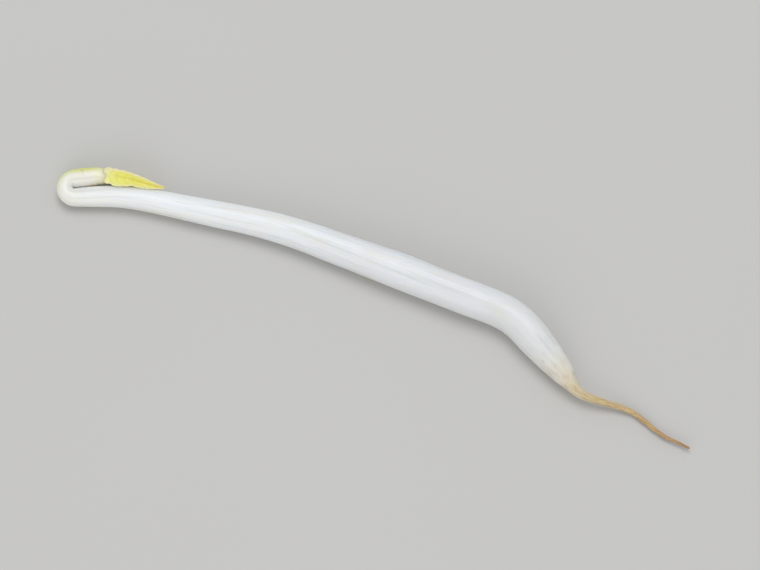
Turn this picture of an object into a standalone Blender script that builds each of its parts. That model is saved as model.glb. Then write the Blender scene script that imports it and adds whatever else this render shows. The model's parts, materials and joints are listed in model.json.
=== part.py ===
"""A mung bean sprout as picked, lying on a flat surface, in metres with +Z up.

Stem and root are one continuous axis. It runs from the thin neck that carries the two folded
primary leaves, round the hook and along the white stem, to the tip of the root.
"""

import math

import bmesh
import bpy
from mathutils import Vector

# Every length below is in millimetres, and every angle in degrees.
MM = 0.001
LEAF_GAP = 0.3  # left between the neck's end and each leaf
STEP = 0.05  # integration step along a path

# The axis in plan, by its arc length from the neck's end to the root's tip. A bend is
# (arc at its middle, its length, its turn to the left).
AXIS_LENGTH = 80.6
NECK_HEADING = 208.0  # from the neck's end towards the hook
AXIS_BENDS = (
    (4.2, 2.4, 88.5), (5.9, 2.4, 88.5), (12.3, 7.0, -15.0), (29.5, 12.0, -9.5),
    (56.8, 6.0, -28.5), (64.2, 5.0, -6.0), (67.6, 3.4, 40.5), (73.6, 5.0, -24.0),
    (78.1, 4.0, 14.0),
)

# Profiles along the axis, as (arc length, value).
AXIS_DIAMETER = (
    (0.0, 1.4), (1.3, 1.85), (2.6, 2.0), (5.1, 1.8), (6.9, 2.0), (9.3, 2.25),  # neck and hook
    (11.8, 2.4), (15.1, 2.5), (23.1, 2.9), (34.1, 3.35), (46.1, 3.9), (59.1, 3.8),  # stem
    (62.6, 3.3), (65.1, 2.5), (66.8, 1.4), (68.3, 0.95), (71.1, 0.7), (76.1, 0.5),  # root
    (80.6, 0.3),
)
AXIS_CLEARANCE = (  # height of the underside above the surface that the stem lies on
    (0.0, 0.73), (1.3, 0.5), (2.6, 0.4), (5.1, 0.43), (6.9, 0.22), (9.3, 0.1), (15.1, 0.0),
    (61.7, 0.0), (65.2, 0.4), (67.0, 0.85), (69.6, 0.75), (73.1, 0.2), (76.1, 0.0), (80.6, 0.35),
)
AXIS_RINGS = ((0.0, 0.25), (7.0, 1.3), (62.6, 0.6))  # from this arc on, a ring about this often
AXIS_SIDES = 16

# The leaves fold back beside the stem from the neck's end.
LEAF_LENGTH = 7.0
LEAF_ARM = ((0.0, 0.35), (0.15, 0.8), (0.38, 1.1), (0.7, 0.85), (1.0, 0.3))  # by share of length
LEAF_THICKNESS = 0.2
LEAF_FOLD = 50.0  # each half of a blade stands up from the level by this
LEAF_RINGS = 14
UPPER_LEAF_TURN = -16.5  # from straight on from the neck, to the left
UPPER_LEAF_BENDS = ((2.6, 3.6, -7.0), (5.8, 3.0, 6.0))
UPPER_KEEL = ((0.0, 1.5), (0.5, 1.9), (1.0, 1.95))  # height of the fold, by share of length
LOWER_LEAF_TURN = -11.0
LOWER_LEAF_BENDS = ((2.6, 4.4, -7.0),)
LOWER_KEEL = ((0.0, 0.66), (0.5, 0.57), (1.0, 0.45))
LOWER_LEAF_SHARE = 0.87  # the lower leaf's size as a share of the upper one's


def remove_everything():
    for obj in list(bpy.data.objects):
        bpy.data.objects.remove(obj, do_unlink=True)


def profile(stations, at):
    """A smooth curve through the stations that never overshoots them."""
    arcs = [station[0] for station in stations]
    values = [station[1] for station in stations]
    if at <= arcs[0]:
        return values[0]
    if at >= arcs[-1]:
        return values[-1]
    slopes = [
        (values[i + 1] - values[i]) / (arcs[i + 1] - arcs[i]) for i in range(len(arcs) - 1)
    ]
    i = max(k for k in range(len(slopes)) if arcs[k] <= at)
    start = harmonic(slopes[i - 1], slopes[i]) if i > 0 else slopes[i]
    end = harmonic(slopes[i], slopes[i + 1]) if i + 1 < len(slopes) else slopes[i]
    span = arcs[i + 1] - arcs[i]
    t = (at - arcs[i]) / span
    return (
        values[i] * (2 * t**3 - 3 * t**2 + 1)
        + span * start * (t**3 - 2 * t**2 + t)
        + values[i + 1] * (3 * t**2 - 2 * t**3)
        + span * end * (t**3 - t**2)
    )


def harmonic(a, b):
    """The slope between two stretches: level where they rise and fall."""
    return 2 * a * b / (a + b) if a * b > 0 else 0.0


def heading_at(first, bends, arc):
    """The heading in degrees after the bends, each eased in and out over its length."""
    turned = first
    for middle, length, angle in bends:
        t = min(1.0, max(0.0, (arc - middle) / length + 0.5))
        turned += angle * t * t * (3 - 2 * t)
    return turned


def plan_path(first, bends, arcs):
    """[(x, y, heading)] at each of the rising arcs of a path from the neck's end."""
    x, y, at = 0.0, 0.0, 0.0
    found = []
    for arc in arcs:
        steps = max(1, math.ceil((arc - at) / STEP))
        for k in range(steps):
            middle = at + (arc - at) * (k + 0.5) / steps
            angle = math.radians(heading_at(first, bends, middle))
            x += math.cos(angle) * (arc - at) / steps
            y += math.sin(angle) * (arc - at) / steps
        at = arc
        found.append((x, y, heading_at(first, bends, arc)))
    return found


def axis_arcs():
    """The arcs of the axis's rings, closer together where it bends or thins quickly."""
    ends = [start for start, _ in AXIS_RINGS[1:]] + [AXIS_LENGTH]
    arcs = [0.0]
    for (start, spacing), end in zip(AXIS_RINGS, ends, strict=True):
        count = round((end - start) / spacing)
        arcs += [start + (end - start) * (i + 1) / count for i in range(count)]
    return arcs


def round_section(diameter):
    """[(across, up)] of a regular polygon that stands on a level side at height 0."""
    radius = diameter / 2
    angles = [math.radians(360 * (i + 0.5) / AXIS_SIDES - 90) for i in range(AXIS_SIDES)]
    centre = radius * math.cos(math.pi / AXIS_SIDES)
    return [(radius * math.cos(a), centre + radius * math.sin(a)) for a in angles]


def folded_section(arm):
    """[(across, up)] of a blade folded along its midrib, with the groove on top."""
    fold = math.radians(LEAF_FOLD)
    out, rise = arm * math.cos(fold), arm * math.sin(fold)
    inset, lip = LEAF_THICKNESS * math.sin(fold), LEAF_THICKNESS * math.cos(fold)
    return [
        (0.0, 0.0),
        (out, rise),
        (out - inset, rise + lip),
        (0.0, LEAF_THICKNESS / math.cos(fold)),
        (inset - out, rise + lip),
        (-out, rise),
    ]


def loft(name, places, sections, material):
    """A closed solid through upright sections, one at each (x, y, z, heading)."""
    mesh = bmesh.new()
    rings = []
    for (x, y, z, heading), section in zip(places, sections, strict=True):
        across = Vector((math.sin(math.radians(heading)), -math.cos(math.radians(heading)), 0))
        foot = Vector((x, y, z))
        rings.append(
            [mesh.verts.new((foot + across * a + Vector((0, 0, u))) * MM) for a, u in section]
        )
    for one, other in zip(rings, rings[1:]):
        for i in range(len(one)):
            j = (i + 1) % len(one)
            mesh.faces.new((one[i], one[j], other[j], other[i]))
    mesh.faces.new(rings[0])
    mesh.faces.new(rings[-1])
    bmesh.ops.recalc_face_normals(mesh, faces=mesh.faces)
    data = bpy.data.meshes.new(name)
    mesh.to_mesh(data)
    mesh.free()
    data.shade_smooth()
    data.set_sharp_from_angle(angle=math.radians(50))
    data.materials.append(material)
    obj = bpy.data.objects.new(name, data)
    bpy.context.scene.collection.objects.link(obj)
    return obj


def plant_material(name, colour, roughness):
    material = bpy.data.materials.new(name)
    material.use_nodes = True
    shader = material.node_tree.nodes["Principled BSDF"]
    shader.inputs["Base Color"].default_value = (*colour, 1.0)
    shader.inputs["Roughness"].default_value = roughness
    shader.inputs["Metallic"].default_value = 0.0
    return material


def make_axis():
    arcs = axis_arcs()
    places = [
        (x, y, profile(AXIS_CLEARANCE, arc), heading)
        for arc, (x, y, heading) in zip(arcs, plan_path(NECK_HEADING, AXIS_BENDS, arcs))
    ]
    sections = [round_section(profile(AXIS_DIAMETER, arc)) for arc in arcs]
    return loft("stem_and_root", places, sections, plant_material("stem_skin", (0.84, 0.83, 0.74), 0.35))


def make_leaf(name, turn, bends, share, keel, material):
    """A folded blade that starts just past the neck's end and heads off by turn."""
    alongs = [i / (LEAF_RINGS - 1) for i in range(LEAF_RINGS)]
    arcs = [LEAF_GAP + (LEAF_LENGTH * share - LEAF_GAP) * along for along in alongs]
    path = plan_path(NECK_HEADING - 180 + turn, bends, arcs)
    places = [(x, y, profile(keel, along), h) for along, (x, y, h) in zip(alongs, path)]
    sections = [folded_section(profile(LEAF_ARM, along) * share) for along in alongs]
    return loft(name, places, sections, material)


def make_leaves():
    blade = plant_material("leaf_blade", (0.74, 0.62, 0.02), 0.45)
    upper = make_leaf("leaf_upper", UPPER_LEAF_TURN, UPPER_LEAF_BENDS, 1.0, UPPER_KEEL, blade)
    lower = make_leaf(
        "leaf_lower", LOWER_LEAF_TURN, LOWER_LEAF_BENDS, LOWER_LEAF_SHARE, LOWER_KEEL, blade
    )
    return [upper, lower]


def stand_on_origin(pieces):
    """Parents the pieces to an empty, with the middle of their footprint on the origin."""
    sprout = bpy.data.objects.new("sprout", None)
    bpy.context.scene.collection.objects.link(sprout)
    points = [vertex.co for piece in pieces for vertex in piece.data.vertices]
    low = [min(point[i] for point in points) for i in range(3)]
    high = [max(point[i] for point in points) for i in range(3)]
    for piece in pieces:
        piece.parent = sprout
    sprout.location = (-(low[0] + high[0]) / 2, -(low[1] + high[1]) / 2, -low[2])


remove_everything()
stand_on_origin([make_axis(), *make_leaves()])
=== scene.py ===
"""The looks of a mung bean sprout that lies on a pale surface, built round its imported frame.

The frame says where the sprout lies. The script repeats the path and the profiles of part.py,
in millimetres, and grows a fine skin along them: the stem with its neck, hook and root, and the
two folded leaves. Every skin remembers where each of its points grew, as a place on the
straightened sprout, and the materials read that place.
"""

import json
import math

import bpy
import numpy as np
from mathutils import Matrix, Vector, noise

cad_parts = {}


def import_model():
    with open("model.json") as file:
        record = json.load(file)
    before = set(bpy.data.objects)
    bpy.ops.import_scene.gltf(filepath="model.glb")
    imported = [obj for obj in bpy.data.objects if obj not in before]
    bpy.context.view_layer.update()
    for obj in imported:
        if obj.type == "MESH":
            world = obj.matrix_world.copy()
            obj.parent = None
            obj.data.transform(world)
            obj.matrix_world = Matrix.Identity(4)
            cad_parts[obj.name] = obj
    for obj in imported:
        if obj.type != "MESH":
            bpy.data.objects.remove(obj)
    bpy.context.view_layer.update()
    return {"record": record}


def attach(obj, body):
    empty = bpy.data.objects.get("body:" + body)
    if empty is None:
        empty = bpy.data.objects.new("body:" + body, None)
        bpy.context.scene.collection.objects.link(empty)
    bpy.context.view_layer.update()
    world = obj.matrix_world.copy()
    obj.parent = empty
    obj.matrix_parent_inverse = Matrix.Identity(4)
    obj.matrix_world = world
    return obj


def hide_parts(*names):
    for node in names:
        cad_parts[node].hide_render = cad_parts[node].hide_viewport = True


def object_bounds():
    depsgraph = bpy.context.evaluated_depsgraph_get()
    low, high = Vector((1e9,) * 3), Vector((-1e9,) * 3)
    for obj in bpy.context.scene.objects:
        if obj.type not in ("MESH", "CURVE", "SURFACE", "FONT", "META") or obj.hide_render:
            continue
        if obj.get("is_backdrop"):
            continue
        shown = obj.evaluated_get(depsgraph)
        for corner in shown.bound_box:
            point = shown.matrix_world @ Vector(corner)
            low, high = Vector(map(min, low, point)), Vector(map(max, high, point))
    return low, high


MM = 0.001

# The axis, as in part.py: arcs run from the neck's end to the root's tip, a bend is
# (arc at its middle, its length, its turn to the left), and a profile is (arc, value).
AXIS_LENGTH = 80.6
NECK_HEADING = 208.0
AXIS_BENDS = (
    (4.2, 2.4, 88.5), (5.9, 2.4, 88.5), (12.3, 7.0, -15.0), (29.5, 12.0, -9.5),
    (56.8, 6.0, -28.5), (64.2, 5.0, -6.0), (67.6, 3.4, 40.5), (73.6, 5.0, -24.0),
    (78.1, 4.0, 14.0),
)
AXIS_DIAMETER = (
    (0.0, 1.4), (1.3, 1.85), (2.6, 2.0), (5.1, 1.8), (6.9, 2.0), (9.3, 2.25),
    (11.8, 2.4), (15.1, 2.5), (23.1, 2.9), (34.1, 3.35), (46.1, 3.9), (59.1, 3.8),
    (62.6, 3.3), (65.1, 2.5), (66.8, 1.4), (68.3, 0.95), (71.1, 0.7), (76.1, 0.5),
    (80.6, 0.3),
)
AXIS_CLEARANCE = (
    (0.0, 0.73), (1.3, 0.5), (2.6, 0.4), (5.1, 0.43), (6.9, 0.22), (9.3, 0.1), (15.1, 0.0),
    (61.7, 0.0), (65.2, 0.4), (67.0, 0.85), (69.6, 0.75), (73.1, 0.2), (76.1, 0.0), (80.6, 0.35),
)
LEVEL_SHARE = math.cos(math.pi / 16)  # height of the axis over its level underside, by radius
REST_ARC = 36.1  # where the mount on the underside is

# The leaves, as in part.py.
LEAF_LENGTH = 7.0
LOWER_LEAF_SHARE = 0.87


# Profiles and paths


def harmonic(a, b):
    """The slope between two stretches: level where they rise and fall."""
    return 2 * a * b / (a + b) if a * b > 0 else 0.0


def curve(stations, at):
    """A smooth curve through the stations that never overshoots them, at an array of places."""
    places = np.array([station[0] for station in stations], float)
    values = np.array([station[1] for station in stations], float)
    rises = np.diff(values) / np.diff(places)
    slopes = np.array([
        rises[0],
        *(harmonic(a, b) for a, b in zip(rises, rises[1:])),
        rises[-1],
    ])
    at = np.clip(at, places[0], places[-1])
    i = np.clip(np.searchsorted(places, at, side="right") - 1, 0, len(rises) - 1)
    span = places[i + 1] - places[i]
    t = (at - places[i]) / span
    return (
        values[i] * (2 * t**3 - 3 * t**2 + 1)
        + span * slopes[i] * (t**3 - 2 * t**2 + t)
        + values[i + 1] * (3 * t**2 - 2 * t**3)
        + span * slopes[i + 1] * (t**3 - t**2)
    )


def ease(low, high, at):
    """0 up to low, 1 from high on, and a smooth rise between them."""
    t = np.clip((at - low) / (high - low), 0.0, 1.0)
    return t * t * (3 - 2 * t)


def bump(middle, half, at):
    """A smooth hill of height 1 at the middle, gone at about twice its half-width."""
    return np.exp(-(((at - middle) / half) ** 2))


def grid(*parts):
    """Points from the arrays of their coordinates, which are first spread to one shape."""
    return np.stack(np.broadcast_arrays(*parts), -1)


def wander(arcs, reach, wavelength, seed):
    """Slow noise along a path, about -reach to reach."""
    return reach * np.array([noise.noise((arc / wavelength, seed, 0.5)) for arc in arcs.tolist()])


def noise_at(places, height, stretch, octaves, seed):
    """Smooth noise, about -height to height, at an array of places first scaled by stretch."""
    flat = (places * np.array(stretch) + seed).reshape(-1, 3).tolist()
    found = [noise.fractal(place, 1.0, 2.0, octaves) for place in flat]
    return height * np.array(found).reshape(places.shape[:-1])


class Path:
    """A path in plan from the neck's end, which bends as its bends say and runs on straight."""

    STEP = 0.01  # of the arc, in summing up the path

    def __init__(self, first, bends, length):
        self.first, self.bends = first, bends
        self.arcs = np.arange(0.0, length + self.STEP, self.STEP)
        angles = np.radians(self.heading(self.arcs[:-1] + self.STEP / 2))
        self.x = np.concatenate([[0.0], np.cumsum(np.cos(angles) * self.STEP)])
        self.y = np.concatenate([[0.0], np.cumsum(np.sin(angles) * self.STEP)])

    def heading(self, arcs):
        """The heading in degrees at an array of arcs."""
        turned = np.full_like(arcs, self.first)
        for middle, length, angle in self.bends:
            turned += angle * ease(middle - length / 2, middle + length / 2, arcs)
        return turned

    def at(self, arcs):
        """(x, y, heading in radians) at an array of arcs."""
        inside = np.clip(arcs, 0.0, self.arcs[-1])
        angle = np.radians(self.heading(inside))
        past = arcs - inside
        x = np.interp(inside, self.arcs, self.x) + past * np.cos(angle)
        y = np.interp(inside, self.arcs, self.y) + past * np.sin(angle)
        return x, y, angle


# Meshes


def skin_mesh(name, rings, grown, extras, material):
    """A closed mesh over rings of points in millimetres, each end closed from side to side.

    grown holds each point's place on the straightened sprout, and extras further named
    values, as the attributes that the material reads.
    """
    count, sides = rings.shape[:2]
    faces = []
    for i in range(count - 1):
        for j in range(sides):
            k = (j + 1) % sides
            one, other = i * sides, (i + 1) * sides
            faces.append((one + j, other + j, other + k, one + k))
    last = (count - 1) * sides
    for j in range(sides // 2 - 1):
        rung = (j, j + 1, sides - 2 - j, sides - 1 - j)
        faces.append(rung)
        faces.append(tuple(last + point for point in reversed(rung)))
    data = bpy.data.meshes.new(name)
    data.from_pydata((rings.reshape(-1, 3) * MM).tolist(), [], faces)
    data.shade_smooth()
    data.attributes.new("grown", "FLOAT_VECTOR", "POINT").data.foreach_set("vector", grown.ravel())
    for extra, values in extras.items():
        data.attributes.new(extra, "FLOAT", "POINT").data.foreach_set("value", values.ravel())
    data.materials.append(material)
    obj = bpy.data.objects.new(name, data)
    bpy.context.scene.collection.objects.link(obj)
    return obj


def upright_rings(path, arcs, across, up):
    """Points (ring, side, 3) of upright sections that stand across a path."""
    x, y, angle = path.at(arcs)
    right = np.stack([np.sin(angle), -np.cos(angle)], 1)
    plan = np.stack([x, y], 1)[:, None, :] + across[..., None] * right[:, None, :]
    return np.concatenate([plan, up[..., None]], 2)


# The stem, with its neck, hook and root

AXIS_SIDES = 80
AXIS_RINGS = ((0.0, 0.08), (8.0, 0.2), (61.0, 0.08))  # from this arc on, a ring this often
CAP_RINGS = 14
BUD_END = (  # (arc from the neck's end, share of the radius)
    (-0.9, 0.04), (-0.78, 0.25), (-0.5, 0.55), (-0.1, 0.84), (0.4, 0.97), (1.0, 1.0),
)
ROOT_END = (  # (arc past the root's end, share of the radius)
    (0.0, 1.0), (0.1, 0.97), (0.2, 0.86), (0.28, 0.66), (0.33, 0.42), (0.35, 0.06),
)
NECK_SWELL = 0.18  # of the neck's end, by its radius
NECK_SWELL_HALF = 1.1  # the swell's half-width along the neck

# What comes in or goes out along the axis, as the arcs between which it does so.
STEM_STARTS = (5.0, 12.0)
STEM_ENDS = (62.0, 68.0)
COLLAR_STARTS = (60.5, 64.5)
COLLAR_ENDS = (67.5, 70.0)
BARK_STARTS = (66.0, 69.0)
THREAD_STARTS = (67.0, 70.0)  # the thin part of the root

# Noise along the axis, as (height, wavelength, seed).
STEM_WANDER = (0.05, 9.0, 6.1)
THREAD_WANDER = ((0.16, 1.9, 1.2), (0.06, 0.8, 3.3))
THREAD_RISES = (1.0, 2.3, 8.8)  # by the lift
THREAD_KNOTS = (0.07, 1.3, 4.7)  # by the radius
THREAD_LIFT = 0.10  # off the surface, on average

# Noise over the skin, as (height, stretch across, up and along, octaves, seed).
SWELLS = (0.030, (0.30, 0.30, 0.16), 3, 3.1)  # by the radius
PLEATS = (0.030, (2.4, 2.4, 0.35), 2, 23.9)  # by the radius, on the collar
BARK = (0.10, (4.5, 4.5, 0.8), 3, 41.1)  # by the radius
FIBRES = (0.008, (2.6, 2.6, 0.16), 3, 17.3)
RIB_FADING = (1.0, (0.2, 0.2, 0.1), 2, 9.4)  # by the rib's height
SCAR_EDGE = (0.25, (2.2, 2.2, 2.2), 2, 31.7)  # by the scar's size
CREASE_WAVER = (0.9, (0.9, 0.9, 0.5), 2)  # in radians, with the crease's arc as its seed

OVAL = (0.022, 0.05, 0.6)  # (height by the radius, twist in radians a millimetre, phase)
RIBS = ((5, 0.007, 0.4), (8, 0.0056, 2.1), (13, 0.0049, 4.0))  # (number, height by radius, phase)
RIB_TWIST = 0.03  # in radians a millimetre
RIB_SHARE = 0.5  # of a rib's height, on average
HOOK_FILLING = (  # (arc, half-width, height) of what stands out on the side inside the hook
    (-0.25, 0.6, 0.34), (2.6, 2.0, 0.11), (5.05, 0.9, 0.05), (8.2, 2.1, 0.09),
)
CREASES = (  # (arc, half-width, spacing, degrees round, depth by the radius), inside the bends
    (5.05, 1.5, 0.34, 180.0, 0.05), (56.8, 2.6, 0.9, 0.0, 0.022),
)
FILLING_POWER = 1.3  # of the cosine round the section: a higher one is narrower
CREASE_POWER = 1.5
SCARS = ((2.3, 62.0), (2.6, 240.0))  # (arc, degrees round) where the bean's halves sat
SCAR_HALF = (0.30, 0.42)  # half-widths along and round
SCAR_RIM = 0.05
SCAR_DIP = 0.03
SIDE_ROOTS = tuple(  # (arc, degrees round), in the four rows that side roots come out in
    (62.9 + 1.37 * i, 45.0 + 90.0 * (i * 3 % 4) + 7.0 * math.sin(2.3 * i)) for i in range(10)
)
NUB_HALF = (0.22, 0.15)
NUB_HEIGHT = 0.05
NUB_SCARRED = 0.8  # how scarred its skin looks


def axis_places():
    """(arcs of the rings, share of the full radius at each), with a bud before and a point after."""
    ends = [start for start, _ in AXIS_RINGS[1:]] + [AXIS_LENGTH]
    body = [np.array([0.0])]
    for (start, spacing), end in zip(AXIS_RINGS, ends, strict=True):
        count = round((end - start) / spacing)
        body.append(start + (end - start) * np.arange(1, count + 1) / count)
    bud = np.linspace(BUD_END[0][0], 0.0, CAP_RINGS, endpoint=False)
    point = np.linspace(ROOT_END[-1][0], 0.0, CAP_RINGS, endpoint=False)[::-1]
    arcs = np.concatenate([bud, *body, AXIS_LENGTH + point])
    return arcs, curve(BUD_END, arcs) * curve(ROOT_END, arcs - AXIS_LENGTH)


def oval_and_ribs(arcs, round_by, grown):
    """How far the oval and the soft ribs stand out, by the radius."""
    flattening, twist, turn = OVAL
    stem = ease(*STEM_STARTS, arcs) * (1 - ease(*STEM_ENDS, arcs))
    oval = flattening * np.sin(2 * round_by + twist * arcs + turn) * stem
    ribs = sum(
        height * np.cos(number * round_by + RIB_TWIST * arcs + phase)
        for number, height, phase in RIBS
    )
    return oval + ribs * (RIB_SHARE + noise_at(grown, *RIB_FADING))


def hook_filling(arcs, round_by):
    """How far the side inside the hook stands out, where the neck and the stem lie close."""
    inner = np.maximum(0.0, -np.cos(round_by)) ** FILLING_POWER
    return inner * sum(height * bump(middle, half, arcs) for middle, half, height in HOOK_FILLING)


def crease_depth(arcs, round_by, grown):
    """Depth of the fine folds inside the sharp bends, by the radius."""
    depth = 0.0
    for middle, half, spacing, degrees, deepest in CREASES:
        waver = noise_at(grown, *CREASE_WAVER, middle)
        fold = 1 - np.abs(np.sin(math.pi * arcs / spacing + waver))
        inner = np.maximum(0.0, np.cos(round_by - math.radians(degrees))) ** CREASE_POWER
        depth = depth + deepest * bump(middle, half, arcs) * inner * fold**2
    return depth


def skin_distance(arcs, round_by, radius, place, halves):
    """Distance on the skin from a place (arc, degrees round), in units of the half-widths."""
    apart = (round_by - math.radians(place[1]) + math.pi) % (2 * math.pi) - math.pi
    return np.hypot((arcs - place[0]) / halves[0], apart * radius / halves[1])


def scars_and_nubs(arcs, round_by, radius, grown):
    """(how far the scars and the side roots' nubs stand out, how scarred the skin is)."""
    relief, scarred = 0.0, 0.0
    for scar in SCARS:
        away = skin_distance(arcs, round_by, radius, scar, SCAR_HALF)
        away = away + noise_at(grown, *SCAR_EDGE)
        relief = relief + SCAR_RIM * bump(1.0, 0.5, away) - SCAR_DIP * bump(0.0, 0.6, away)
        scarred = np.maximum(scarred, bump(0.0, 0.8, away))
    for nub in SIDE_ROOTS:
        near = bump(0.0, 0.8, skin_distance(arcs, round_by, radius, nub, NUB_HALF))
        relief = relief + NUB_HEIGHT * near
        scarred = np.maximum(scarred, NUB_SCARRED * near)
    return relief, scarred


def axis_relief(arcs, round_by, radius, grown):
    """(how far the skin stands out from a plain round section, how scarred it is)."""
    collar = ease(*COLLAR_STARTS, arcs) * (1 - ease(*COLLAR_ENDS, arcs))
    by_radius = oval_and_ribs(arcs, round_by, grown) - crease_depth(arcs, round_by, grown)
    by_radius = by_radius + noise_at(grown, *SWELLS) + collar * noise_at(grown, *PLEATS)
    by_radius = by_radius + ease(*BARK_STARTS, arcs) * noise_at(grown, *BARK)
    fibres = noise_at(grown, *FIBRES) * np.minimum(radius, 1.0)
    marks, scarred = scars_and_nubs(arcs, round_by, radius, grown)
    return radius * by_radius + fibres + hook_filling(arcs, round_by) + marks, scarred


def make_axis(material):
    """The stem with its neck, hook and root, as one closed skin."""
    arcs, shares = axis_places()
    thread = ease(*THREAD_STARTS, arcs)
    radius = curve(AXIS_DIAMETER, arcs) / 2
    height = curve(AXIS_CLEARANCE, arcs) + radius * LEVEL_SHARE
    height = height + THREAD_LIFT * thread * (1 + wander(arcs, *THREAD_RISES))
    sideways = thread * sum(wander(arcs, *wave) for wave in THREAD_WANDER)
    sideways = sideways + wander(arcs, *STEM_WANDER)
    radius = radius * (1 + NECK_SWELL * bump(0.0, NECK_SWELL_HALF, arcs))
    radius = radius * (1 + thread * wander(arcs, *THREAD_KNOTS))
    round_by = np.linspace(0.0, 2 * math.pi, AXIS_SIDES, endpoint=False)[None, :]
    cosine, sine = np.cos(round_by), np.sin(round_by)
    down, wide = arcs[:, None], radius[:, None]
    grown = grid(wide * cosine, wide * sine, down)
    relief, scarred = axis_relief(down, round_by, wide, grown)
    reach = (wide + relief) * shares[:, None]
    up = np.maximum(0.0, height[:, None] + reach * sine)
    path = Path(NECK_HEADING, AXIS_BENDS, AXIS_LENGTH)
    rings = upright_rings(path, arcs, sideways[:, None] + reach * cosine, up)
    return skin_mesh("sprout_stem", rings, grown, {"scarred": scarred}, material)


# The leaves

LEAF_RINGS = 170
RING_POWER = 0.9  # of the share of the length: under 1, rings are closer towards the tip
LEAF_HALF_SIDES = 30  # points across each half of a blade
LEAF_FOOT = 0.4  # how far a leaf reaches back along the neck
LEAF_HALF_WIDTH = (  # by share of its length, as the thickness is
    (0.0, 0.62), (0.06, 0.73), (0.11, 0.79), (0.17, 0.93), (0.24, 1.05), (0.38, 1.12), (0.55, 1.0),
    (0.75, 0.66), (0.9, 0.32), (0.97, 0.14), (1.0, 0.04),
)
LEAF_THICKNESS = (
    (0.0, 0.1), (0.04, 0.22), (0.12, 0.27), (0.22, 0.21), (0.5, 0.17), (0.9, 0.12), (1.0, 0.03),
)
THICKEST = 0.3  # of a blade, by its half-width there
EDGE_POWER = 6  # of a blade's round profile: a higher one stays flat further out
RIM = 0.985  # where a blade's edge is cut off on that profile
STEM_SIDE_LOBE = 0.24  # how much wider the half next to the stem is near its foot
LOBE_PLACE = (0.22, 0.2)  # (middle, half-width), by share of the length
LOBE_STARTS = (0.0, 0.3)  # going out from the rib, by the half-width
RIB_BEND = 0.14  # the blade bends over this share of its half-width to each side of its rib
RIB_HALF = 0.09  # the rib's half-width, by the blade's
RIB_GROOVE = 0.18  # in the upper face, by the thickness, as are the next three
RIB_KEEL = 0.5  # under the lower face, lower towards the tip
VEIN_GROOVE = 0.11
VEIN_KEEL = 0.13
VEIN_PAIRS = 8
VEIN_PLACES = (1.05, 0.9, 0.25)  # (factor, power) of the share of the length, turns at the foot
VEIN_SLANT = 0.12  # how far a vein runs forwards on its way to the edge, by the length
VEIN_SHARPNESS = 10  # power of the wave that a row of veins is made from
NET = (0.06, (4.0, 5.0, 1.0), 3, 1.7)  # fine veins, as noise with its height by the thickness
WAVES = (24.0, (0.8, 0.5, 1.0), 3)  # noise in degrees at the edge, with the leaf's own seed
VEIN_PLEATS = 5.0  # degrees at the edge
BLADE_OPENS = (0.02, 0.2)  # from its wrapped foot, by share of the length
VEINS_START = (0.05, 0.2)
VEINS_LEAVE_RIB = (0.03, 0.15)  # by the half-width
VEINS_END_POWER = 4  # of the place between rib and edge: a higher one reaches further out
TIP_STARTS = (0.85, 1.0)
TIP_FLATTENS = 0.6  # how much of the fold is lost at the tip


class Leaf:
    """Where a leaf lies and how it is folded.

    Its keel and its roll, in degrees to the right, run by share of its length. Each half
    stands up from the level by an angle at the rib and another at the edge. Its foot wraps
    the neck's end, with an edge that stands up by the wrap.
    """

    def __init__(self, name, share, turn, bends, keel, roll, right, left, wrap, seed):
        self.name, self.share, self.turn, self.bends = name, share, turn, bends
        self.keel, self.roll, self.right, self.left = keel, roll, right, left
        self.wrap, self.seed = wrap, seed


LEAVES = (
    Leaf(
        "upper_leaf", 1.0, -16.5, ((2.6, 3.6, -7.0), (5.8, 3.0, 6.0)),
        keel=((0.0, 2.02), (0.06, 2.0), (0.2, 1.82), (0.5, 1.86), (1.0, 2.02)),
        roll=((0.0, 0.0), (0.3, 9.0), (0.7, 12.0), (1.0, 24.0)),
        right=(24.0, 50.0), left=(44.0, 70.0), wrap=-60.0, seed=2.6,
    ),
    Leaf(
        "lower_leaf", LOWER_LEAF_SHARE, -11.0, ((2.6, 4.4, -7.0),),
        keel=((0.0, 0.80), (0.08, 0.78), (0.5, 0.56), (1.0, 0.44)),
        roll=((0.0, 0.0), (0.4, -6.0), (1.0, -20.0)),
        right=(44.0, 64.0), left=(38.0, 66.0), wrap=60.0, seed=7.9,
    ),
)


def vein_turns(along, away):
    """Rises by one from each side vein to the next. The veins run out and forwards."""
    factor, power, first = VEIN_PLACES
    return VEIN_PAIRS * (factor * along**power - VEIN_SLANT * away) + first


def half_slopes(leaf, along, out):
    """Degrees that the blade stands up from the level, going out from its rib, with its waves.

    Each half of a blade has waves of its own.
    """
    away = np.abs(out)
    rib = np.where(out > 0, leaf.right[0], leaf.left[0])
    edge = np.where(out > 0, leaf.right[1], leaf.left[1])
    places = grid(along * LEAF_LENGTH, out, np.sign(out) * 3.0 + leaf.seed)
    pleats = VEIN_PLEATS * np.sin(2 * math.pi * vein_turns(along, away))
    open_slope = rib + (edge - rib) * away + away * (noise_at(places, *WAVES, leaf.seed) + pleats)
    blade = ease(*BLADE_OPENS, along)
    return blade * open_slope + (1 - blade) * leaf.wrap * away


def running_sum(slopes, out):
    """The integral of the slopes along each row, from its first place."""
    steps = (slopes[:, 1:] + slopes[:, :-1]) / 2 * np.diff(out)
    return np.concatenate([np.zeros_like(steps[:, :1]), np.cumsum(steps, axis=1)], 1)


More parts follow.
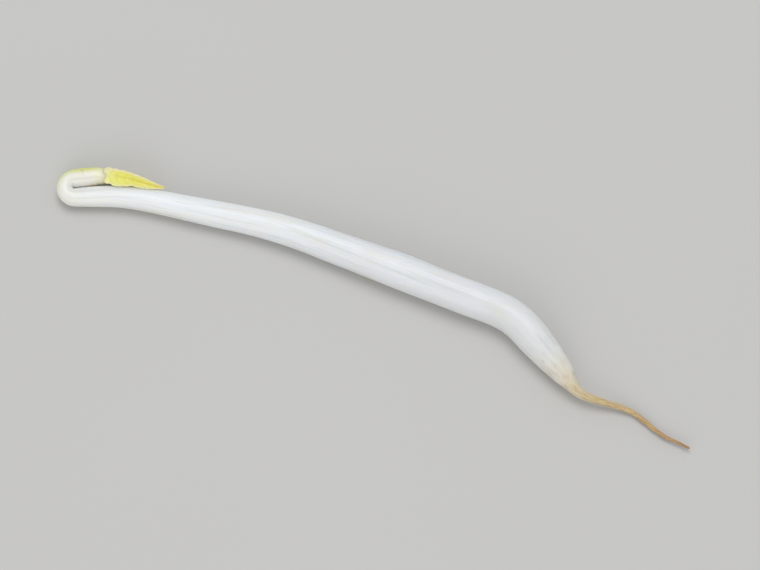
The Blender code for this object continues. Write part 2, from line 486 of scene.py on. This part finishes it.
def blade_section(leaf, along, out, half_width):
    """(across, up, lean) of the middle of the blade, with its rib at 0 and its lean in radians."""
    slope = np.radians(half_slopes(leaf, along, out))
    fold = (2 * ease(-RIB_BEND, RIB_BEND, out) - 1) * (1 - TIP_FLATTENS * ease(*TIP_STARTS, along))
    lean = slope * fold - np.radians(curve(leaf.roll, along))
    across = running_sum(np.cos(lean), out) * half_width
    up = running_sum(np.sin(lean), out) * half_width
    middle = out.shape[1] // 2
    across = across - across[:, middle - 1:middle + 1].mean(1, keepdims=True)
    up = up - up[:, middle - 1:middle + 1].mean(1, keepdims=True)
    return across, up, lean


def blade_faces(leaf, along, out, half_width):
    """How far the (lower, upper) face stands off the blade's middle, with its rib and veins."""
    away = np.abs(out)
    round_edge = np.sqrt(1 - (RIM * away) ** EDGE_POWER)
    thickness = np.minimum(curve(LEAF_THICKNESS, along), THICKEST * half_width)
    half = thickness / 2 * round_edge
    blade = ease(*VEINS_START, along)
    rib = bump(0.0, RIB_HALF, out) * blade
    veins = np.abs(np.sin(math.pi * vein_turns(along, away))) ** VEIN_SHARPNESS * blade
    veins = veins * (1 - away**VEINS_END_POWER) * ease(*VEINS_LEAVE_RIB, away)
    places = grid(along * LEAF_LENGTH * leaf.share, out, leaf.seed)
    net = noise_at(places, *NET) * blade * round_edge
    upper = half - thickness * (RIB_GROOVE * rib + VEIN_GROOVE * veins - net)
    lower = -half - thickness * (RIB_KEEL * rib * (1.1 - along) + VEIN_KEEL * veins - net)
    return lower, upper


def make_leaf(leaf, material):
    """A closed blade: its lower face from left to right, then its upper face back."""
    along = np.linspace(0.0, 1.0, LEAF_RINGS)[:, None] ** RING_POWER
    length = LEAF_LENGTH * leaf.share
    arcs = -LEAF_FOOT + (length + LEAF_FOOT) * along[:, 0]
    half_width = curve(LEAF_HALF_WIDTH, along) * leaf.share
    even = np.linspace(-1.0, 1.0, 2 * LEAF_HALF_SIDES)[None, :]
    out = (even + np.sin(math.pi / 2 * even)) / 2  # closer together towards the edges
    wider = 1 + STEM_SIDE_LOBE * bump(*LOBE_PLACE, along) * ease(*LOBE_STARTS, out)
    across, up, lean = blade_section(leaf, along, out, half_width * wider)
    faces = blade_faces(leaf, along, out, half_width)
    under, over = [grid(across - np.sin(lean) * face, up + np.cos(lean) * face) for face in faces]
    loop = np.concatenate([under, over[:, ::-1]], 1)
    path = Path(NECK_HEADING - 180 + leaf.turn, leaf.bends, length)
    rings = upright_rings(path, arcs, loop[..., 0], curve(leaf.keel, along) + loop[..., 1])
    side = np.concatenate([out, out[:, ::-1]], 1) * np.ones_like(along)
    face = np.concatenate([-np.ones_like(out), np.ones_like(out)], 1)
    grown = grid(side * half_width, face, along * length)
    values = {"side": side, "vein_turns": vein_turns(along, np.abs(side))}
    return skin_mesh(leaf.name, rings, grown, values, material)


# Materials

COLOUR_MIX = {"share": 0, "one": 6, "other": 7, "out": 2}  # sockets of a Mix node set to RGBA


def colour(red, green, blue):
    """A colour as seen, out of 255, in the linear values that shaders take."""
    parts = [part / 255 for part in (red, green, blue)]
    linear = [part / 12.92 if part <= 0.04045 else ((part + 0.055) / 1.055) ** 2.4 for part in parts]
    return (*linear, 1.0)


class Looks:
    """One material and short ways to add its nodes. A value is a number, a colour or a socket."""

    def __init__(self, name):
        self.material = bpy.data.materials.new(name)
        self.material.use_nodes = True
        self.tree = self.material.node_tree
        self.shader = self.tree.nodes["Principled BSDF"]

    def feed(self, socket, value):
        """Links a socket into another, or sets the value that it has."""
        if isinstance(value, bpy.types.NodeSocket):
            self.tree.links.new(value, socket)
        else:
            socket.default_value = value

    def node(self, kind, inputs=None, **settings):
        """A new node with its own settings, and with its inputs fed by name."""
        made = self.tree.nodes.new(kind)
        for name, value in settings.items():
            setattr(made, name, value)
        for name, value in (inputs or {}).items():
            self.feed(made.inputs[name], value)
        return made

    def shade(self, **inputs):
        """Feeds the shader's own sockets, with _ for each space in a socket's name."""
        for name, value in inputs.items():
            self.feed(self.shader.inputs[name.replace("_", " ")], value)

    def attribute(self, name, output):
        return self.node("ShaderNodeAttribute", attribute_name=name).outputs[output]

    def parts(self, vector):
        return self.node("ShaderNodeSeparateXYZ", {"Vector": vector}).outputs

    def math(self, operation, one, other=0.0):
        made = self.node("ShaderNodeMath", operation=operation)
        for socket, value in zip(made.inputs, (one, other)):
            self.feed(socket, value)
        return made.outputs[0]

    def times(self, one, other):
        return self.math("MULTIPLY", one, other)

    def size(self, value):
        """A value without its sign."""
        return self.math("ABSOLUTE", value)

    def scaled(self, vector, scale):
        made = self.node("ShaderNodeVectorMath", operation="MULTIPLY")
        self.feed(made.inputs[0], vector)
        made.inputs[1].default_value = scale
        return made.outputs[0]

    def noise(self, vector, scale, detail=2.0, roughness=0.5):
        inputs = {"Vector": self.scaled(vector, scale), "Scale": 1.0, "Detail": detail}
        made = self.node("ShaderNodeTexNoise", {**inputs, "Roughness": roughness})
        return made.outputs["Fac"]

    def rise(self, value, low, high, start=0.0, end=1.0):
        """A smooth rise from start at low to end at high."""
        inputs = {"Value": value, "From Min": low, "From Max": high, "To Min": start, "To Max": end}
        made = self.node("ShaderNodeMapRange", inputs, interpolation_type="SMOOTHSTEP")
        return made.outputs["Result"]

    def patches(self, vector, scale, detail, roughness, low, high, strength):
        """0 where noise is under low, rising to a strength where it is over high."""
        return self.rise(self.noise(vector, scale, detail, roughness), low, high, 0.0, strength)

    def mix(self, share, one, other, blend="MIX"):
        """One colour with a share of another in it."""
        made = self.node("ShaderNodeMix", data_type="RGBA", blend_type=blend)
        for name, value in (("share", share), ("one", one), ("other", other)):
            self.feed(made.inputs[COLOUR_MIX[name]], value)
        return made.outputs[COLOUR_MIX["out"]]

    def ramp(self, value, length, stops):
        """Colours along a length, as (place, colour)."""
        made = self.node("ShaderNodeValToRGB", {"Fac": self.math("DIVIDE", value, length)})
        elements = made.color_ramp.elements
        while len(elements) < len(stops):
            elements.new(0.5)
        for element, (place, shade) in zip(elements, stops):
            element.position = place / length
            element.color = shade
        return made.outputs["Color"]

    def relief(self, height, distance, strength=1.0, normal=None):
        """The normal over fine relief, laid over another normal if there is one."""
        inputs = {"Height": height, "Distance": distance, "Strength": strength}
        made = self.node("ShaderNodeBump", inputs)
        if normal is not None:
            self.feed(made.inputs["Normal"], normal)
        return made.outputs["Normal"]


STEM_COLOURS = (  # by arc
    (0.0, colour(239, 231, 192)),
    (1.4, colour(237, 233, 221)),
    (4.2, colour(236, 234, 227)),
    (9.0, colour(236, 236, 233)),
    (16.0, colour(236, 238, 239)),
    (34.0, colour(233, 235, 237)),
    (52.0, colour(226, 227, 229)),
    (62.0, colour(225, 225, 224)),
    (65.2, colour(223, 219, 209)),
    (66.9, colour(214, 203, 177)),
    (69.5, colour(203, 185, 146)),
    (74.0, colour(192, 168, 128)),
    (78.5, colour(166, 134, 96)),
    (AXIS_LENGTH, colour(130, 96, 66)),
)
CREAM = colour(250, 243, 226)
STRAND_GREY = colour(226, 230, 224)
NECK_GREEN = colour(217, 222, 122)
PALE_SCAR = colour(198, 184, 124)
BROWN_SCAR = colour(150, 108, 68)
TAN = colour(184, 142, 100)
BARK_BROWN = colour(142, 106, 74)
SPECK = colour(206, 186, 140)

# Noise in the skin, as (stretch across, up and along, detail, roughness).
CLOUDS = ((0.55, 0.55, 0.14), 3.0, 0.5)
SKIN_FIBRES = ((4.5, 4.5, 0.3), 3.0, 0.6)
SKIN_CELLS = ((9.0, 9.0, 1.4), 2.0, 0.5)

# Patches of colour, as the same and then (where the noise starts to show, where it shows in
# full, how strongly).
STRANDS = ((2.6, 2.6, 0.07), 3.0, 0.6, 0.5, 0.68, 0.42)
TAN_LINES = ((3.4, 3.4, 0.5), 3.0, 0.65, 0.5, 0.72, 0.55)
BARK_PATCHES = ((4.0, 4.0, 0.9), 4.0, 0.7, 0.42, 0.66, 0.6)
SPECKS = ((2.6, 2.6, 1.5), 2.0, 0.6, 0.71, 0.79, 0.3)

# Rises and falls along the axis, as (from arc, to arc) and, where they aren't from 0 to 1,
# (value before, value after) as well.
GREEN_STARTS = (-0.3, 1.6, 0.3, 1.0)
GREEN_ENDS = (2.6, 6.2, 1.0, 0.0)
SCARS_TURN_BROWN = (20.0, 60.0)
TAN_STARTS = (61.5, 68.0)
BROWN_STARTS = (66.0, 72.0)
DRY_STARTS = (62.0, 70.0, 0.0, 0.2)  # by roughness

# The same by the clouds' noise, and by the distance from the middle towards the outer side.
CREAM_BY_CLOUDS = (0.45, 0.75, 0.0, 0.5)
ROUGHNESS_BY_CLOUDS = (0.3, 0.7, 0.26, 0.4)
OUTER_SIDE = (0.05, 0.68)

GREEN_STRENGTH = 0.95
SCAR_STRENGTH = 0.35
FIBRE_BUMP = (0.03 * MM, 0.8)  # (distance, strength)
CELL_BUMP = (0.01 * MM, 0.7)


def flesh_colour(looks, grown, sideways, arc, clouds):
    """White with cream clouds and grey strands, yellow-green on the neck's outer side."""
    skin = looks.ramp(arc, AXIS_LENGTH, STEM_COLOURS)
    skin = looks.mix(looks.rise(clouds, *CREAM_BY_CLOUDS), skin, CREAM, "MULTIPLY")
    skin = looks.mix(looks.patches(grown, *STRANDS), skin, STRAND_GREY, "MULTIPLY")
    neck = looks.times(looks.rise(arc, *GREEN_STARTS), looks.rise(arc, *GREEN_ENDS))
    outer = looks.times(neck, looks.rise(sideways, *OUTER_SIDE))
    return looks.mix(looks.times(outer, GREEN_STRENGTH), skin, NECK_GREEN)


def with_marks(looks, skin, grown, arc):
    """The skin with its scars and specks, and with the root's tan lines and brown bark."""
    scarred = looks.times(looks.attribute("scarred", "Fac"), SCAR_STRENGTH)
    scar_colour = looks.mix(looks.rise(arc, *SCARS_TURN_BROWN), PALE_SCAR, BROWN_SCAR)
    skin = looks.mix(scarred, skin, scar_colour)
    tan_lines = looks.times(looks.patches(grown, *TAN_LINES), looks.rise(arc, *TAN_STARTS))
    skin = looks.mix(tan_lines, skin, TAN)
    bark = looks.times(looks.patches(grown, *BARK_PATCHES), looks.rise(arc, *BROWN_STARTS))
    skin = looks.mix(bark, skin, BARK_BROWN)
    return looks.mix(looks.patches(grown, *SPECKS), skin, SPECK)


def stem_skin():
    """Moist white flesh, yellow-green on the neck's outer side, cream to brown down the root."""
    looks = Looks("stem_skin")
    grown = looks.attribute("grown", "Vector")
    sideways, _, arc = looks.parts(grown)
    clouds = looks.noise(grown, *CLOUDS)
    skin = flesh_colour(looks, grown, sideways, arc, clouds)
    skin = with_marks(looks, skin, grown, arc)
    normal = looks.relief(looks.noise(grown, *SKIN_FIBRES), *FIBRE_BUMP)
    normal = looks.relief(looks.noise(grown, *SKIN_CELLS), *CELL_BUMP, normal)
    damp = looks.rise(clouds, *ROUGHNESS_BY_CLOUDS)
    dry = looks.rise(arc, *DRY_STARTS)
    looks.shade(
        Base_Color=skin,
        Roughness=looks.math("ADD", damp, dry),
        Normal=normal,
        IOR=1.38,
        Subsurface_Weight=0.9,
        Subsurface_Radius=(1.0, 0.92, 0.75),
        Subsurface_Scale=1.7 * MM,
        Coat_Weight=0.25,
        Coat_Roughness=0.16,
        Coat_IOR=1.33,
    )
    return looks.material


LEAF_COLOURS = (  # by arc
    (0.0, colour(239, 232, 202)),
    (0.5, colour(240, 235, 180)),
    (1.1, colour(242, 238, 152)),
    (2.0, colour(243, 239, 134)),
    (3.6, colour(244, 237, 134)),
    (5.6, colour(243, 231, 142)),
    (LEAF_LENGTH, colour(236, 212, 132)),
)
LEAF_PATCH = colour(233, 229, 92)
VEIN = colour(220, 214, 94)
# Pale edges: partly the margin's own tone, partly painted edge light.
PALE_RIM_AND_EDGE_LIGHT = colour(247, 232, 188)
# Olive on the rib: partly the rib's own tone, partly painted shade in the fold.
OLIVE_RIB_AND_FOLD_SHADE = colour(215, 209, 96)
LEAF_PATCHES = ((1.1, 0.4, 0.6), 3.0, 0.6)
LEAF_CELLS = ((7.0, 1.0, 7.0), 3.0, 0.6)
LEAF_BUMP = (0.02 * MM, 0.6)  # (distance, strength)
VEIN_COLOUR_SHARPNESS = 12.0

# Rises and falls over the leaves, written as those of the stem.
PATCH_BY_NOISE = (0.48, 0.7, 0.0, 0.5)
ROUGHNESS_BY_NOISE = (0.3, 0.7, 0.4, 0.54)
PATCHES_START = (0.4, 1.4)  # by arc
# Where the olive rib tone with its painted fold shade comes in, and how far out from the rib it
# reaches.
FOLD_SHADE_STARTS = (0.6, 2.2)  # by arc
FOLD_SHADE_ENDS = (0.03, 0.3, 0.45, 0.0)  # in millimetres from the rib
VEINS_FADE = (0.1, 1.0, 0.35, 0.0)  # from the rib to the edge, by the half-width
RIM_STARTS = (0.5, 0.98)  # likewise
EDGE_LIGHT_BY_SIDE = (-1.0, 1.0, 0.95, 0.6)  # from the left edge to the right, as painted edge light that is stronger on the left


def leaf_blade():
    """Soft yellow blades with faint veins, an olive rib with painted shade in its fold, and pale
    edges with painted edge light.
    """
    looks = Looks("leaf_blade")
    grown = looks.attribute("grown", "Vector")
    sideways, _, arc = looks.parts(grown)
    side = looks.attribute("side", "Fac")
    edge = looks.size(side)
    blade = looks.ramp(arc, LEAF_LENGTH, LEAF_COLOURS)
    patches = looks.noise(grown, *LEAF_PATCHES)
    patched = looks.times(looks.rise(patches, *PATCH_BY_NOISE), looks.rise(arc, *PATCHES_START))
    blade = looks.mix(patched, blade, LEAF_PATCH)
    turns = looks.times(looks.attribute("vein_turns", "Fac"), math.pi)
    vein = looks.math("POWER", looks.size(looks.math("SINE", turns)), VEIN_COLOUR_SHARPNESS)
    blade = looks.mix(looks.times(vein, looks.rise(edge, *VEINS_FADE)), blade, VEIN)
    # Pale edges: the margin's own paleness with painted edge light, stronger on the left edge than
    # the right.
    rim_and_edge_light = looks.times(looks.rise(edge, *RIM_STARTS), looks.rise(side, *EDGE_LIGHT_BY_SIDE))
    blade = looks.mix(rim_and_edge_light, blade, PALE_RIM_AND_EDGE_LIGHT)
    # Olive along the rib: its own tone, with painted shade where the blade folds at the rib.
    crease = looks.rise(looks.size(sideways), *FOLD_SHADE_ENDS)
    blade = looks.mix(looks.times(crease, looks.rise(arc, *FOLD_SHADE_STARTS)), blade, OLIVE_RIB_AND_FOLD_SHADE)
    looks.shade(
        Base_Color=blade,
        Roughness=looks.rise(patches, *ROUGHNESS_BY_NOISE),
        Normal=looks.relief(looks.noise(grown, *LEAF_CELLS), *LEAF_BUMP),
        IOR=1.42,
        Subsurface_Weight=0.6,
        Subsurface_Radius=(1.0, 0.85, 0.2),
        Subsurface_Scale=0.4 * MM,
        Sheen_Weight=0.08,
        Sheen_Roughness=0.5,
    )
    return looks.material


# The setting

FLOOR_HALF = 1.5  # in metres, as the rest of the setting is
FLOOR_DROP = 0.02 * MM  # under the surface that the sprout lies on
FLOOR_MOTTLE = (9.0, 9.0, 9.0)
FLOOR_SHADES = ((0.56, 0.545, 0.52, 1.0), (0.60, 0.585, 0.56, 1.0))
ROOM_TINT = (0.93, 0.96, 1.0, 1.0)
ROOM_STRENGTH = 0.62
LIGHTS = (  # name, azimuth, elevation, distance, size, watts, tint
    ("key", 200.0, 72.0, 0.6, 0.4, 1.3, (0.98, 0.99, 1.0)),
    ("fill", 10.0, 28.0, 0.6, 0.5, 0.75, (1.0, 0.975, 0.93)),
)
CAMERA_AZIMUTH = 22.4  # how the photograph's view is turned round the sprout
CAMERA_ELEVATION = 72.0
CAMERA_LENS = 120.0  # in millimetres, as the camera's sensor is
CAMERA_CLIP = (0.01, 10.0)
VIEW_WIDTH = 0.082  # what the picture spans at the sprout


def make_floor():
    """A pale floor under the sprout, which isn't a part of it."""
    looks = Looks("floor_paint")
    place = looks.node("ShaderNodeTexCoord").outputs["Object"]
    mottle = looks.noise(place, FLOOR_MOTTLE, 3.0)
    looks.shade(
        Base_Color=looks.mix(mottle, *FLOOR_SHADES),
        Roughness=0.6,
        Specular_IOR_Level=0.3,
    )
    half = FLOOR_HALF
    corners = [(-half, -half, 0), (half, -half, 0), (half, half, 0), (-half, half, 0)]
    data = bpy.data.meshes.new("floor")
    data.from_pydata(corners, [], [(0, 1, 2, 3)])
    data.materials.append(looks.material)
    floor = bpy.data.objects.new("floor", data)
    floor.location.z = -FLOOR_DROP
    bpy.context.scene.collection.objects.link(floor)
    floor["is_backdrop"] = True


def from_middle(azimuth, elevation):
    """The direction from the sprout to a place that looks at it."""
    turn, rise = math.radians(azimuth), math.radians(elevation)
    return Vector((math.sin(turn) * math.cos(rise), -math.cos(turn) * math.cos(rise), math.sin(rise)))


def look_along(obj, direction):
    """Turns a light or a camera to look along a direction, upright."""
    obj.rotation_euler = direction.to_track_quat("-Z", "Y").to_euler()


def make_lights():
    """An even pale room, with two large lamps that point at the sprout."""
    world = bpy.data.worlds.new("soft_room")
    world.use_nodes = True
    background = world.node_tree.nodes["Background"]
    background.inputs["Color"].default_value = ROOM_TINT
    background.inputs["Strength"].default_value = ROOM_STRENGTH
    bpy.context.scene.world = world
    for name, azimuth, elevation, distance, size, watts, tint in LIGHTS:
        lamp = bpy.data.lights.new(name, "AREA")
        lamp.shape = "DISK"
        lamp.size = size
        lamp.energy = watts
        lamp.color = tint
        light = bpy.data.objects.new(name, lamp)
        direction = from_middle(azimuth, elevation)
        light.location = direction * distance
        look_along(light, -direction)
        bpy.context.scene.collection.objects.link(light)


def make_camera():
    """Looks from the photograph's direction, but from closer, so that the sprout fills the frame."""
    lens = bpy.data.cameras.new("camera")
    lens.lens = CAMERA_LENS
    lens.clip_start, lens.clip_end = CAMERA_CLIP
    camera = bpy.data.objects.new("camera", lens)
    low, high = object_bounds()
    distance = VIEW_WIDTH * CAMERA_LENS / lens.sensor_width
    direction = from_middle(CAMERA_AZIMUTH, CAMERA_ELEVATION)
    camera.location = (low + high) / 2 + direction * distance
    look_along(camera, -direction)
    bpy.context.scene.collection.objects.link(camera)
    bpy.context.scene.camera = camera


def put_in_place(piece, frame):
    """Moves a piece made from the neck's end on to where the frame has the sprout."""
    rest = Vector(frame["record"]["mounts"][0]["pos_m"])
    x, y, _ = Path(NECK_HEADING, AXIS_BENDS, AXIS_LENGTH).at(np.array([REST_ARC]))
    shift = rest - Vector((x[0], y[0], 0.0)) * MM
    piece.data.transform(piece.matrix_basis.Translation(shift))


def main():
    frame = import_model()
    stem = make_axis(stem_skin())
    blade = leaf_blade()
    upper, lower = [make_leaf(leaf, blade) for leaf in LEAVES]
    for piece, node, slot in (
        (stem, "stem_and_root", "stem_skin"),
        (upper, "leaf_upper", "leaf_blade"),
        (lower, "leaf_lower", "leaf_blade"),
    ):
        put_in_place(piece, frame)
        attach(piece, "root")
        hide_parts(node)
    make_floor()
    make_lights()
    make_camera()
    bpy.context.scene.view_settings.view_transform = "Standard"


main()
